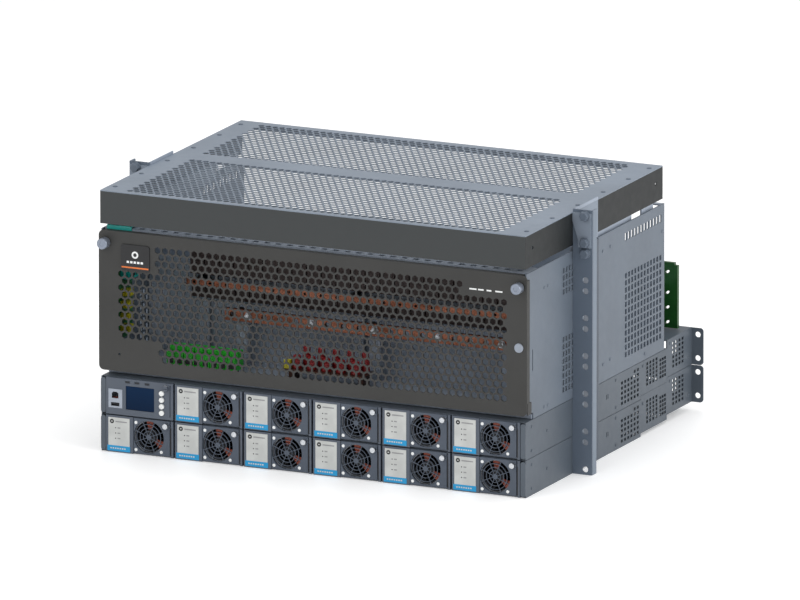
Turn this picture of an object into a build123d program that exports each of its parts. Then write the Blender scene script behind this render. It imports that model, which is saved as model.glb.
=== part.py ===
from build123d import *
import os

os.makedirs("parts", exist_ok=True)

# A seven-unit rectifier power system for a 23 inch rack, in millimetres.
# X runs across the rack, +Y runs from the front to the back, +Z is up.
# Everything is drawn with y = 0 at the front face of the modules, and save() then
# moves it so that the origin is under the middle of the bounding box.

# ---- driving dimensions -------------------------------------------------------------
UNIT = 44.45                    # one rack unit
UNITS = 7
RACK_WIDTH = 584.2              # outside of the rack ears, 23 inch rack
EAR_HOLE_SPACING = 566.7        # between the two rows of ear holes
EAR_HOLE_R = 3.75
BODY_HALF = 267.5               # half of the width over the side panels
SHEET = 1.5                     # sheet metal
REAR_END = 463.0                # back face of the rear flanges
FRONT_END = -12.0               # front of the door's thumbscrews
SHIFT_Y = -(REAR_END + FRONT_END) / 2

SHELF_TOP = 43.9                # top face of a shelf, above its own bottom
SHELF_EDGE = 4.4                # where the shelf plates start, behind the module faces
SHELF_STEP_1 = 319.0            # the side's lower edge rises here
SHELF_STEP_2 = 392.0            # and here, where the raised rear box starts
REAR_LIFT = 9.5                 # how far the rear box is raised
FLANGE_HALF = 282.0             # half width over the rear flanges

MODULE_PITCH = 87.3
MODULE_W = 85.0
MODULE_LEFT = -(5 * MODULE_PITCH + MODULE_W) / 2
MODULE_Z0, MODULE_Z1 = 0.5, 43.5
RECTIFIER_DEPTH = 252.5
CONTROLLER_DEPTH = 208.0
FASCIA_BACK = 3.6               # back of the module's front plate
FAN_X, FAN_Z = 53.8, 21.9       # fan centre, from the module's left and bottom
FAN_R = 19.2
HANDLE_X0, HANDLE_X1 = 34.8, 80.6
HANDLE_AXIS_Y, HANDLE_AXIS_Z = 1.2, 2.4
CAPTIVE_X, CAPTIVE_Z = 76.6, 37.9

CABINET_Z0, CABINET_Z1 = 88.9, 262.0
CABINET_BACK = 384.0
REAR_WALL_Z1 = 200.0            # the cabinet's back is open above its rear wall
CABINET_FRONT = 3.0
DOOR_HALF = 269.5
DOOR_Z0, DOOR_Z1 = 96.2, 264.5
DOOR_AXIS_Y, DOOR_AXIS_Z = 8.0, 102.0
SCREW_X, SCREW_Z = 260.3, 247.0

COVER_Z0, COVER_Z1 = 268.5, 307.6
COVER_BACK = 379.0
RAIL_Y0, RAIL_Y1 = 158.0, 188.0
EAR_Y = 130.0                   # front face of the rack ears
EAR_SHEET = 2.0
COVER_BOLT_Z = (273.05, 304.8)  # ear holes that hold the cover's brackets
CABINET_BOLT_Z = 260.35         # ear hole that is bolted to the cabinet's flange
BRACKET_BACK = 196.0
PARTITION_Y, PARTITION_Z1 = 128.0, 205.0
LOWER_SHELF_STEP_TOP = 48.2     # the lower shelf rises to meet the upper one's stepped floor
BOARD_Y = 442.0                 # front face of the rear terminal board


# ---- drawing helpers ----------------------------------------------------------------
def block(x0, x1, y0, y1, z0, z1):
    size = Box(x1 - x0, y1 - y0, z1 - z0, align=(Align.MIN, Align.MIN, Align.MIN))
    return Pos(x0, y0, z0) * size


def rod_y(x, z, radius, y0, y1):
    rod = Cylinder(radius, y1 - y0, align=(Align.CENTER, Align.CENTER, Align.MIN))
    return Pos(x, y0, z) * Rot(-90, 0, 0) * rod


def rod_x(y, z, radius, x0, x1):
    rod = Cylinder(radius, x1 - x0, align=(Align.CENTER, Align.CENTER, Align.MIN))
    return Pos(x0, y, z) * Rot(0, 90, 0) * rod


def rod_z(x, y, radius, z0, z1):
    rod = Cylinder(radius, z1 - z0, align=(Align.CENTER, Align.CENTER, Align.MIN))
    return Pos(x, y, z0) * rod


def hexagon_y(x, z, flats, y0, y1):
    outline = RegularPolygon(flats / 2, 6, major_radius=False)
    return Pos(x, y0, z) * Rot(-90, 0, 0) * extrude(outline, y1 - y0)


def slot_wire(a, b, width, height):
    left, right = a - width / 2, a + width / 2
    low, high = b - height / 2, b + height / 2
    return Wire.make_polygon([(left, low), (right, low), (right, high), (left, high)])


def circle_wire(a, b, radius):
    return Wire.make_circle(radius, Plane(origin=(a, b, 0)))


def grid(a0, a1, columns, b0, b1, rows):
    """Centres of a regular grid from (a0, b0) to (a1, b1)."""
    a_step = (a1 - a0) / max(columns - 1, 1)
    b_step = (b1 - b0) / max(rows - 1, 1)
    return [(a0 + i * a_step, b0 + j * b_step) for i in range(columns) for j in range(rows)]


def plate_yz(x0, outline, holes, thickness=SHEET):
    """A sheet standing in the YZ plane, its inner face at x0."""
    face = Face(Wire.make_polygon(outline), holes)
    return Pos(x0, 0, 0) * extrude(Plane.YZ * face, thickness)


def rounded_plate_xz(x0, x1, z0, z1, radius, y0, thickness, holes=()):
    """A sheet standing in the XZ plane with round corners, its front face at y0."""
    plate = extrude(RectangleRounded(x1 - x0, z1 - z0, radius), thickness)
    plate = Pos((x0 + x1) / 2, y0, (z0 + z1) / 2) * Rot(-90, 0, 0) * plate
    for x, z, hole_r in holes:
        plate -= rod_y(x, z, hole_r, y0 - 1, y0 + thickness + 1)
    return plate


def mirrored(shape):
    return mirror(shape, about=Plane.YZ)


def both_sides(shapes):
    """The shapes of the right-hand side, and the same ones on the left."""
    return [*shapes, *[mirrored(shape) for shape in shapes]]


def save(name, *shapes):
    solids = [solid for shape in shapes for solid in shape.solids()]
    export_step(Pos(0, SHIFT_Y, 0) * Compound(solids), f"parts/{name}.step")


# ---- the two module shelves ---------------------------------------------------------
def shelf_side(z, step_top):
    outline = [
        (2.0, z), (SHELF_STEP_1, z), (SHELF_STEP_1, z + 4), (SHELF_STEP_2, z + 4),
        (SHELF_STEP_2, z + REAR_LIFT), (REAR_END - SHEET, z + REAR_LIFT),
        (REAR_END - SHEET, z + 53.5), (SHELF_STEP_2 + 0.5, z + 53.5),
        (SHELF_STEP_2 + 0.5, z + step_top),
    ]
    if step_top > SHELF_TOP:
        outline += [(SHELF_STEP_1 + 0.5, z + step_top), (SHELF_STEP_1 + 0.5, z + SHELF_TOP)]
    outline.append((2.0, z + SHELF_TOP))
    vents = grid(267, 311, 6, z + 7, z + 31, 5)
    vents += grid(302.2, 311, 2, z + 37, z + 37, 1)
    vents += grid(337, 363, 4, z + 14, z + 38, 6)
    vents += grid(374, 387, 3, z + 14, z + 34, 5)
    vents += grid(410, 436, 4, z + 19, z + 46, 6)
    holes = [slot_wire(y, height, 5.2, 3.6) for y, height in vents]
    holes += [slot_wire(y, z + 24, 1.6, 6) for y in (224, 228)]
    return plate_yz(BODY_HALF - SHEET, outline, holes)


def shelf(z, step_top):
    inner = BODY_HALF - SHEET
    side = shelf_side(z, step_top)
    flange = rounded_plate_xz(-MODULE_LEFT + 0.6, BODY_HALF, z + 1.5, z + 42.4, 2.6, 0.5, SHEET)
    floors = [
        block(-inner, inner, SHELF_EDGE, SHELF_STEP_1, z, z + SHEET),
        block(-inner, inner, SHELF_STEP_1, SHELF_STEP_2, z + 4, z + 4 + SHEET),
        block(-inner, inner, SHELF_STEP_2, REAR_END - SHEET, z + REAR_LIFT, z + REAR_LIFT + SHEET),
    ]
    tops = [
        block(-inner, inner, SHELF_EDGE, SHELF_STEP_1 + 0.5, z + SHELF_TOP - SHEET, z + SHELF_TOP),
        block(-inner, inner, SHELF_STEP_1 + 0.5, SHELF_STEP_2 + 0.5, z + step_top - SHEET,
              z + step_top),
        block(-inner, inner, SHELF_STEP_2 + 0.5, REAR_END - SHEET, z + 52, z + 53.5),
    ]
    rails = []
    for bay in range(1, 6):
        middle = MODULE_LEFT + bay * MODULE_PITCH - (MODULE_PITCH - MODULE_W) / 2
        rails.append(block(middle - 0.8, middle + 0.8, 8, 248, z + SHEET, z + 6))
    return [side, mirrored(side), flange, mirrored(flange), *floors, *tops, *rails,
            *shelf_back(z)]


def shelf_back(z):
    """The rear wall: two strips, the posts between its six windows, and the end flanges."""
    low, high = z + REAR_LIFT, z + 53.2
    window_low, window_high = z + 19, z + 45
    front = REAR_END - SHEET
    window_half = 32
    middles = [MODULE_LEFT + MODULE_W / 2 + bay * MODULE_PITCH for bay in range(6)]
    end = middles[-1] + window_half
    hole_x = (BODY_HALF + FLANGE_HALF) / 2 + 0.5
    holes = [(hole_x, low + height, 3.4) for height in (8, 36)]
    flange = rounded_plate_xz(end - 10, FLANGE_HALF, low, high, 4, front, SHEET, holes)
    flange -= block(end - 11, end, front - 1, REAR_END + 1, low - 1, high + 1)
    strips = [block(-end, end, front, REAR_END, low, window_low),
              block(-end, end, front, REAR_END, window_high, high)]
    posts = [block(left + window_half, right - window_half, front, REAR_END,
                   window_low, window_high) for left, right in zip(middles, middles[1:])]
    return [*strips, *posts, flange, mirrored(flange)]


def backplane(z):
    """The board behind the modules, with one socket per bay."""
    solids = [block(-258, 258, 266, 267.6, z + 4, z + 41)]
    for bay in range(6):
        middle = MODULE_LEFT + MODULE_W / 2 + bay * MODULE_PITCH
        for low, high in ((z + 8, z + 11), (z + 17, z + 20)):
            solids.append(block(middle - 20, middle + 20, 257, 266, low, high))
        for left in (middle - 20, middle + 16):
            solids.append(block(left, left + 4, 257, 266, z + 11, z + 17))
    return solids


# ---- a rectifier module, drawn with its left bottom corner at x = 0, z = 0 ------------
def quarters_round_fan(x0, x1, y0, y1, z0, z1, radius):
    """A plate with a round fan opening, as the four corner pieces that are left of it."""
    corners = []
    for left, right in ((x0, FAN_X), (FAN_X, x1)):
        for low, high in ((z0, FAN_Z), (FAN_Z, z1)):
            corner = block(left, right, y0, y1, low, high)
            corners.append(corner - rod_y(FAN_X, FAN_Z, radius, y0 - 1, y1 + 1))
    return corners


def rectifier_fascia():
    """Front plate: the label's pad, the right-hand pad and the recess behind the guard."""
    recess_left, recess_right = HANDLE_X0 - 0.5, HANDLE_X1 + 1.4
    pivots = rod_x(HANDLE_AXIS_Y, HANDLE_AXIS_Z, 0.85, HANDLE_X0 - 3, HANDLE_X1 + 4)
    pads = [block(left, right, 0, FASCIA_BACK, MODULE_Z0, MODULE_Z1) - pivots
            for left, right in ((0, recess_left), (recess_right, MODULE_W))]
    plate = quarters_round_fan(recess_left, recess_right, 2.4, FASCIA_BACK, MODULE_Z0,
                               MODULE_Z1, FAN_R)
    screw_hole = rod_y(CAPTIVE_X, CAPTIVE_Z, 2.2, -1, 5)
    return [*pads, *[corner - screw_hole for corner in plate]]


def module_case(depth):
    left, right = 0.8, MODULE_W - 0.8
    low, high = 2.1, 41.7
    sheet = 1.0
    back = FASCIA_BACK + depth - 3.6
    floor = block(left, right, FASCIA_BACK, back, low, low + sheet)
    lid = block(left, right, FASCIA_BACK, back, high - sheet, high)
    walls = [block(x, x + sheet, FASCIA_BACK, back, low + sheet, high - sheet)
             for x in (left, right - sheet)]
    rear = block(left + sheet, right - sheet, back - sheet, back, low + sheet, high - sheet)
    for slot in range(7):
        x = 10 + slot * 10.5
        rear -= block(x, x + 6, back - 3, back + 1, 24, 38)
    rear -= block(MODULE_W / 2 - 16, MODULE_W / 2 + 16, back - 3, back + 1, 11, 17)
    return [floor, lid, *walls, rear]


def fan_frame():
    """The fan's square housing, its motor and the four struts that carry the motor."""
    side, bore = 20.0, 18.1
    frame = quarters_round_fan(FAN_X - side, FAN_X + side, FASCIA_BACK, 28, FAN_Z - 18.4,
                               FAN_Z + 18.4, bore)
    motor = rod_y(FAN_X, FAN_Z, 8, 22, 28) - rod_y(FAN_X, FAN_Z, 1.4, 21, 29)
    struts = []
    for quarter in range(4):
        strut = Pos(FAN_X, 26, FAN_Z) * Rot(0, 45 + 90 * quarter, 0) * Pos(13, 0, 0) * Box(12, 3, 2)
        strut -= rod_y(FAN_X, FAN_Z, 8, 22, 28)
        struts.append(strut & rod_y(FAN_X, FAN_Z, bore, 22, 29))
    return [*frame, motor, *struts]


def rectifier_module():
    back = RECTIFIER_DEPTH
    middle = MODULE_W / 2
    board = block(3, MODULE_W - 3, 32, back - 2, 5.6, 7.2)
    plug = block(middle - 14, middle + 14, back - 2, back + 9, 12.2, 15.8)
    heatsink = [block(5, 9, 45, 200, 7.2, 36)]
    for fin in range(4):
        heatsink.append(block(9, 20, 50 + fin * 40, 52.5 + fin * 40, 9, 36))
    transformer = block(36, 66, 150, 190, 7.2, 34)
    choke = rod_z(40, 105, 13, 7.2, 22)
    capacitors = [rod_z(70, 60 + 26 * i, 9, 7.2, 37) for i in range(3)]
    return [*rectifier_fascia(), *module_case(RECTIFIER_DEPTH), *fan_frame(), board, plug,
            *heatsink, transformer, choke, *capacitors]


def fan_rotor():
    rotor = rod_y(FAN_X, FAN_Z, 8.2, 8, 21.4) + rod_y(FAN_X, FAN_Z, 1.0, 21, 27.5)
    blade = Pos(12.4, 0, 0) * Rot(52, 0, 0) * Box(9.6, 1.1, 11)
    for step in range(7):
        rotor += Pos(FAN_X, 14.4, FAN_Z) * Rot(0, step * 360 / 7, 0) * blade
    return rotor


def handle_guard():
    """The guard plate that folds down: rings and spokes in front of the fan."""
    y0, y1 = 0.4, 1.6
    plate = block(HANDLE_X0, HANDLE_X1, y0, y1, HANDLE_AXIS_Z, MODULE_Z1 - 0.4)
    plate -= rod_y(FAN_X, FAN_Z, 18.9, -1, 3)
    for radius in (15.4, 11.2, 7.2):
        plate += rod_y(FAN_X, FAN_Z, radius, y0, y1) - rod_y(FAN_X, FAN_Z, radius - 1.1, -1, 3)
    plate += rod_y(FAN_X, FAN_Z, 3.0, y0, y1)
    for spoke in range(8):
        turned = Pos(FAN_X, (y0 + y1) / 2, FAN_Z) * Rot(0, 22.5 + 45 * spoke, 0)
        plate += turned * Pos(10.8, 0, 0) * Box(17.2, y1 - y0, 0.9)
    plate -= rod_y(CAPTIVE_X, CAPTIVE_Z, 1.6, -1, 3)
    barrel = rod_x(HANDLE_AXIS_Y, HANDLE_AXIS_Z, 0.95, HANDLE_X0, HANDLE_X1)
    pivots = rod_x(HANDLE_AXIS_Y, HANDLE_AXIS_Z, 0.55, HANDLE_X0 - 2, HANDLE_X1 + 2.6)
    return plate + barrel + pivots


def captive_screw():
    screw = rod_y(CAPTIVE_X, CAPTIVE_Z, 3.3, -5.4, 0.1)
    screw = chamfer(screw.edges().sort_by(Axis.Y)[0], 0.5)
    screw -= block(CAPTIVE_X - 4, CAPTIVE_X + 4, -5.6, -4.6, CAPTIVE_Z - 0.5, CAPTIVE_Z + 0.5)
    return screw + rod_y(CAPTIVE_X, CAPTIVE_Z, 1.5, 0, 3.2)


def handle_rivets():
    places = [(-16, 16), (-16, -16), (16, -16)]
    return [rod_y(FAN_X + x, FAN_Z + z, 1.6, -0.2, 0.4) for x, z in places]


# ---- the controller -------------------------------------------------------------------
BUTTON_X = 70.6
BUTTON_Z = [7.9, 15.6, 23.3, 31.0]
LCD_X0, LCD_X1, LCD_Z0, LCD_Z1 = 25.0, 61.0, 7.5, 35.4


def controller_module():
    fascia = block(0, MODULE_W, 0, FASCIA_BACK, MODULE_Z0, MODULE_Z1)
    fascia -= block(LCD_X0, LCD_X1, -1, 5, LCD_Z0, LCD_Z1)
    for z in BUTTON_Z:
        fascia -= rod_y(BUTTON_X, z, 3.5, -1, 5)
    fascia -= block(6.2, 17.4, -1, 5, 18.6, 28.2)
    fascia -= block(5.6, 18.0, -1, 5, 9.6, 15.2)
    for x in (27.3, 39.3, 52.1):
        fascia -= block(x - 3, x + 3, -1, 0.6, 38.6, 41.0)
    fascia -= block(80.6, 81.8, -1, 1.2, 4, 41)
    fascia -= rod_y(CAPTIVE_X, CAPTIVE_Z, 1.6, -1, 5)
    board = block(3, MODULE_W - 3, 12, CONTROLLER_DEPTH - 4, 4.0, 5.6)
    network_jack = block(5, 18.6, FASCIA_BACK, 18, 17.8, 29) - block(6.2, 17.4, 3, 15, 18.6, 28.2)
    usb_port = block(5, 18.6, FASCIA_BACK, 17, 8.8, 16) - block(5.9, 17.7, 3, 14, 9.8, 15)
    usb_tongue = block(7, 16.6, 5, 17, 12.6, 13.8)
    switch_board = block(64, 78, 9, 10.2, 6, 35)
    processor = block(30, 50, 90, 110, 5.6, 8)
    battery = rod_z(62, 150, 10, 5.6, 9.2)
    plug = block(MODULE_W / 2 - 14, MODULE_W / 2 + 14, CONTROLLER_DEPTH - 2, CONTROLLER_DEPTH + 6,
                 12.2, 15.8)
    return [fascia, *module_case(CONTROLLER_DEPTH), board, network_jack, usb_port + usb_tongue,
            switch_board, processor, battery, plug, captive_screw()]


def controller_display():
    glass = block(LCD_X0 + 0.3, LCD_X1 - 0.3, 0.5, 2.2, LCD_Z0 + 0.3, LCD_Z1 - 0.3)
    panel = block(LCD_X0 + 0.3, LCD_X1 - 0.3, 2.2, 5.6, LCD_Z0 + 0.3, LCD_Z1 - 0.3)
    return [glass, panel]


def controller_button(z):
    cap = rod_y(BUTTON_X, z, 3.1, -1.6, 3.0)
    cap = fillet(cap.edges().sort_by(Axis.Y)[0], 0.8)
    return cap + rod_y(BUTTON_X, z, 1.5, 2.9, 7.2)


# ---- the distribution cabinet -----------------------------------------------------------
def cabinet_side():
    outline = [
        (22, CABINET_Z0), (CABINET_BACK, CABINET_Z0), (CABINET_BACK, CABINET_Z1),
        (CABINET_FRONT, CABINET_Z1), (CABINET_FRONT, 104), (4.6, 98.2), (8, 96.4), (22, 96.4),
    ]
    holes = [slot_wire(y, z, 5.2, 6.2) for y, z in grid(277, 373, 12, 107, 200, 12)]
    holes += [slot_wire(y, 246, 5.2, 9) for y, _ in grid(277, 373, 12, 0, 0, 1)]
    holes += [slot_wire(y, z, 5.2, 6.2) for y, z in grid(105, 129, 4, 219, 244, 4)]
    holes += [slot_wire(y, z, 5.2, 6.2) for y, z in grid(105, 129, 4, 104, 163, 8)]
    holes.append(slot_wire(20, 158, 1.8, 25))
    holes.append(circle_wire(DOOR_AXIS_Y, DOOR_AXIS_Z, 2.4))
    return plate_yz(BODY_HALF - SHEET, outline, holes)


def cabinet_frame():
    inner = BODY_HALF - SHEET
    floor = block(-inner, inner, 22, CABINET_BACK - SHEET, CABINET_Z0, CABINET_Z0 + SHEET)
    rear = block(-inner, inner, CABINET_BACK - SHEET, CABINET_BACK, CABINET_Z0, REAR_WALL_Z1)
    partition = block(-inner, inner, PARTITION_Y, PARTITION_Y + SHEET, CABINET_Z0 + SHEET,
                      PARTITION_Z1)
    lip = block(-inner, inner, 20.5, 22, CABINET_Z0, 94)
    rail_face = block(-inner, inner, 10, 11.5, 251, CABINET_Z1)
    rail_top = block(-inner, inner, 11.5, 38, CABINET_Z1 - SHEET, CABINET_Z1)
    for slot in range(36):
        x = -252 + slot * 14.4
        rail_top -= block(x - 3.5, x + 3.5, 15, 21, 255, 265)
    rear_rail = block(-inner, inner, CABINET_BACK - 8, CABINET_BACK, CABINET_Z1 - SHEET,
                      CABINET_Z1)
    fork = [block(252, SCREW_X - 3.2, 10, 11.5, 238, 251),
            block(SCREW_X + 3.2, inner, 10, 11.5, 238, 251)]
    arms = [block(x, x + SHEET, CABINET_BACK, BOARD_Y, 150, 172) for x in (-240, 240 - SHEET)]
    return [floor, rear, partition, lip, rail_face, rail_top, rear_rail, *both_sides(fork),
            *arms]


def busbars():
    """Two long copper bars, their end brackets and the insulated studs they stand on."""
    y = 84.0
    lower = block(-150, 210, y, y + 5, 148, 162)
    for hole in range(18):
        lower -= rod_y(-140 + hole * 20, 155, 3.2, y - 1, y + 6)
    upper = block(-205, 210, y + 14, y + 19, 180, 192)
    for hole in range(20):
        upper -= rod_y(-195 + hole * 20, 186, 2.8, y + 13, y + 20)
    feet = []
    for x in (-140, 30, 200):
        feet.append(block(x - 10, x + 10, y + 5, y + 30, 90.4, 160))
    for x in (-190, 5, 195):
        feet.append(block(x - 8, x + 8, y + 30, y + 44, 90.4, 190))
        feet.append(block(x - 8, x + 8, y + 19, y + 30, 182, 190))
    return [lower, upper, *feet]


def terminal_block():
    """A row of eight signal terminals in the front of the cabinet floor."""
    body = block(-209, -121, 52, 74, 96, 118)
    foot = block(-205, -125, 56, 70, 90.4, 96)
    for pole in range(8):
        x = -203.5 + pole * 11
        body -= rod_z(x, 60, 3.2, 108, 119)
        body -= block(x - 3.4, x + 3.4, 51, 60, 99, 106)
    screws = [rod_z(-203.5 + pole * 11, 60, 2.6, 109, 112) for pole in range(8)]
    return [body, foot, *screws]


def battery_lugs():
    """Five pairs of insulated battery landing posts on a small copper shelf."""
    base = block(-62, 40, 52, 84, 104, 107)
    legs = [block(x, x + 6, 60, 78, 90.4, 104) for x in (-58, 30)]
    posts = []
    for post in range(5):
        x = -48 + post * 18.5
        posts.append(rod_z(x, 62, 5.6, 107, 122))
        posts.append(rod_z(x + 6, 76, 5.0, 107, 130))
    return [base, *legs, *posts]


def interface_board():
    """The signal board on the left wall with its connectors and standoffs."""
    wall = -(BODY_HALF - SHEET)
    board = block(wall + 6, wall + 7.6, 30, 120, 125, 255)
    standoffs = [rod_x(y, z, 2.5, wall, wall + 6) for y in (38, 112) for z in (133, 247)]
    sockets = [block(wall + 7.6, wall + 20, 34, 62, z, z + 14) for z in (236, 214, 196)]
    relays = [block(wall + 7.6, wall + 19, 34, 52, z, z + 10) for z in (134, 148, 162, 176)]
    return [board, *standoffs, *sockets, *relays]


def rear_terminal_board():
    board = block(-258, 258, BOARD_Y, BOARD_Y + 5, 99.5, 177)
    for column in range(14):
        for row in range(3):
            x, z = -241.6 + column * 37.2, 113 + row * 25
            board -= rod_y(x, z, 6, BOARD_Y - 1, BOARD_Y + 6)
            board -= block(x - 6, x + 6, BOARD_Y - 1, BOARD_Y + 6, z - 3, z + 3)
    return board


# ---- the door -------------------------------------------------------------------------
def front_door():
    plate = block(-DOOR_HALF, DOOR_HALF, 0, SHEET, DOOR_Z0, DOOR_Z1)
    corners = plate.edges().filter_by(Axis.Y)
    plate = fillet(corners, 6)
    for x in (-SCREW_X, SCREW_X):
        plate -= rod_y(x, SCREW_Z, 2.4, -1, 3)
    plate -= rod_y(-243.5, 116.5, 1.5, -1, 3)
    top = block(-DOOR_HALF + 6, DOOR_HALF - 6, SHEET, 8, DOOR_Z1 - SHEET, DOOR_Z1)
    return_side = block(DOOR_HALF - SHEET, DOOR_HALF, SHEET, 8, 111, DOOR_Z1 - 6)
    tab = block(DOOR_HALF - SHEET, DOOR_HALF, 3, 13, 97, 111)
    pin = rod_x(DOOR_AXIS_Y, DOOR_AXIS_Z, 2.0, BODY_HALF - SHEET - 1, DOOR_HALF - SHEET)
    plug = rod_y(259.6, 176, 5.4, -1.6, 0)
    return [plate, top, *both_sides([return_side, tab, pin]), plug]


def thumbscrew(x):
    head = rod_y(x, SCREW_Z, 6.5, FRONT_END, -1.5)
    head = chamfer(head.edges().sort_by(Axis.Y)[0], 1.0)
    head -= block(x - 7, x + 7, FRONT_END - 1, FRONT_END + 1.6, SCREW_Z - 0.7, SCREW_Z + 0.7)
    return head + rod_y(x, SCREW_Z, 4.4, -1.5, -0.2) + rod_y(x, SCREW_Z, 2.0, -0.3, 15)


def door_badge():
    badge = rounded_plate_xz(-241, -205, 216.5, 247, 3, -1.2, 1.2)
    nameplate = rounded_plate_xz(193.5, 243, 231.5, 246.5, 1.2, -0.8, 0.8)
    return [badge, nameplate]


# ---- the cover ------------------------------------------------------------------------
def cover_frame():
    """Dark bent band round the front and the sides, with a turned-in top edge."""
    inner = BODY_HALF - SHEET
    under = COVER_Z1 - 1.2
    front = block(-BODY_HALF, BODY_HALF, 0, SHEET, COVER_Z0, under)
    outline = [(SHEET, COVER_Z0), (COVER_BACK, COVER_Z0), (COVER_BACK, under), (SHEET, under)]
    holes = [circle_wire(360, 290, 2.2), circle_wire(20, 290, 2.2)]
    side = plate_yz(inner, outline, holes)
    ledge = block(inner - 14, inner, SHEET, COVER_BACK, under - SHEET, under)
    front_ledge = block(-inner + 14, inner - 14, SHEET, 14, under - SHEET, under)
    rear = block(-inner, inner, COVER_BACK - SHEET, COVER_BACK, under - 8, under - SHEET)
    return [front, side, mirrored(side), ledge, mirrored(ledge), front_ledge, rear]


def cover_grille():
    """The top sheet, the cross rail under it and the screws along both edges."""
    top = block(-BODY_HALF, BODY_HALF, 0, COVER_BACK, COVER_Z1 - 1.2, COVER_Z1)
    rail = block(-252, 252, RAIL_Y0, RAIL_Y1, COVER_Z1 - 4, COVER_Z1 - 1.2)
    screws = []
    for side in (-1, 1):
        for y in (22, 92, 162, 232, 302, 360):
            screws.append(rod_z(side * 259, y, 2.8, COVER_Z1, COVER_Z1 + 1.0))
    return [top, rail, *screws]


# ---- rack ears ------------------------------------------------------------------------
def ear_hole_heights():
    heights = []
    for line in range(UNITS + 1):
        heights += [line * UNIT - 6.35, line * UNIT + 6.35]
    return [height for height in heights if 0 < height < UNITS * UNIT]


def rack_ear():
    outer = RACK_WIDTH / 2
    root = BODY_HALF
    height = UNITS * UNIT
    holes = [(EAR_HOLE_SPACING / 2, z, EAR_HOLE_R) for z in ear_hole_heights()]
    face = block(root, outer, EAR_Y, EAR_Y + EAR_SHEET, 0, height)
    for x, z, radius in holes:
        face -= rod_y(x, z, radius, EAR_Y - 1, EAR_Y + 4)
    edge = block(outer - EAR_SHEET, outer, EAR_Y + EAR_SHEET, EAR_Y + 12, 0, height)
    leg = block(root, root + EAR_SHEET, EAR_Y + EAR_SHEET, EAR_Y + 26, 0, CABINET_Z1)
    return [face, edge, leg]


def cover_bracket():
    """Carries the cover on the ear: a tapered plate in front and a plate along its side."""
    outer = RACK_WIDTH / 2 - 1.2
    hole_x = EAR_HOLE_SPACING / 2
    low, taper_low, taper_high = 267.0, 276.0, 298.0
    outline = [(BODY_HALF, COVER_Z1), (outer, COVER_Z1), (outer, low), (BODY_HALF + 7, low),
               (BODY_HALF + 7, taper_low), (BODY_HALF, taper_high)]
    face = Plane.XZ * Face(Wire.make_polygon(outline))
    face = Pos(0, EAR_Y - SHEET, 0) * extrude(face, SHEET)
    for z in COVER_BOLT_Z:
        face -= rod_y(hole_x, z, EAR_HOLE_R + 0.4, EAR_Y - 3, EAR_Y + 1)
    side = block(BODY_HALF, BODY_HALF + SHEET, EAR_Y + EAR_SHEET, BRACKET_BACK, 264, COVER_Z1)
    return [face, side]


def flanged_bolt(x, z, front):
    """A flanged hexagon bolt under its head at front, through to behind the ear."""
    bolt = rod_y(x, z, 6.2, front - 1.4, front)
    bolt += hexagon_y(x, z, 9.5, front - 6, front - 1.4)
    return bolt + rod_y(x, z, 3.0, front, EAR_Y + 8)


def ear_bolts():
    solids = []
    x = EAR_HOLE_SPACING / 2
    for side in (-1, 1):
        solids.append(flanged_bolt(side * x, CABINET_BOLT_Z, EAR_Y))
        for z in COVER_BOLT_Z:
            solids.append(flanged_bolt(side * x, z, EAR_Y - SHEET))
    return solids


# ---- write every sub-part -------------------------------------------------------------
module_solids = Compound([s for shape in rectifier_module() for s in shape.solids()])
rotor_solid = fan_rotor()
handle_solids = Compound([s for shape in (handle_guard(), *handle_rivets(), captive_screw())
                          for s in shape.solids()])
bays = [(bay, 0.0) for bay in range(6)] + [(bay, UNIT) for bay in range(1, 6)]
for number, (bay, z) in enumerate(bays, start=1):
    place = Pos(MODULE_LEFT + bay * MODULE_PITCH, 0, z)
    save(f"rectifier_{number:02d}_module", place * module_solids)
    save(f"rectifier_{number:02d}_fan_rotor", place * rotor_solid)
    save(f"rectifier_{number:02d}_handle", place * handle_solids)

controller_place = Pos(MODULE_LEFT, 0, UNIT)
save("controller_module", *[controller_place * piece for piece in controller_module()])
save("controller_display", *[controller_place * piece for piece in controller_display()])
for number, button_z in enumerate(BUTTON_Z, start=1):
    save(f"controller_button_{number}", controller_place * controller_button(button_z))

save("shelf_lower", *shelf(0.0, LOWER_SHELF_STEP_TOP))
save("shelf_upper", *shelf(UNIT, SHELF_TOP))
save("shelf_backplanes", *backplane(0.0), *backplane(UNIT))

side_panel = cabinet_side()
save("cabinet_side_right", side_panel)
save("cabinet_side_left", mirrored(side_panel))
save("cabinet_frame", *cabinet_frame())
save("busbars", *busbars())
save("terminal_block", *terminal_block())
save("battery_lugs", *battery_lugs())
save("interface_board", *interface_board())
save("rear_terminal_board", rear_terminal_board())

save("front_door", *front_door())
save("door_thumbscrew_left", thumbscrew(-SCREW_X))
save("door_thumbscrew_right", thumbscrew(SCREW_X))
save("door_badge", *door_badge())

save("cover_frame", *cover_frame())
save("cover_grille", *cover_grille())
save("cover_brackets", *both_sides(cover_bracket()))
ear = rack_ear()
save("rack_ear_right", *ear)
save("rack_ear_left", *[mirrored(piece) for piece in ear])
save("ear_bolts", *ear_bolts())
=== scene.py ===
import bmesh
import bpy
import math
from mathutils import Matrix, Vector
from mathutils.geometry import delaunay_2d_cdt


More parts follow.
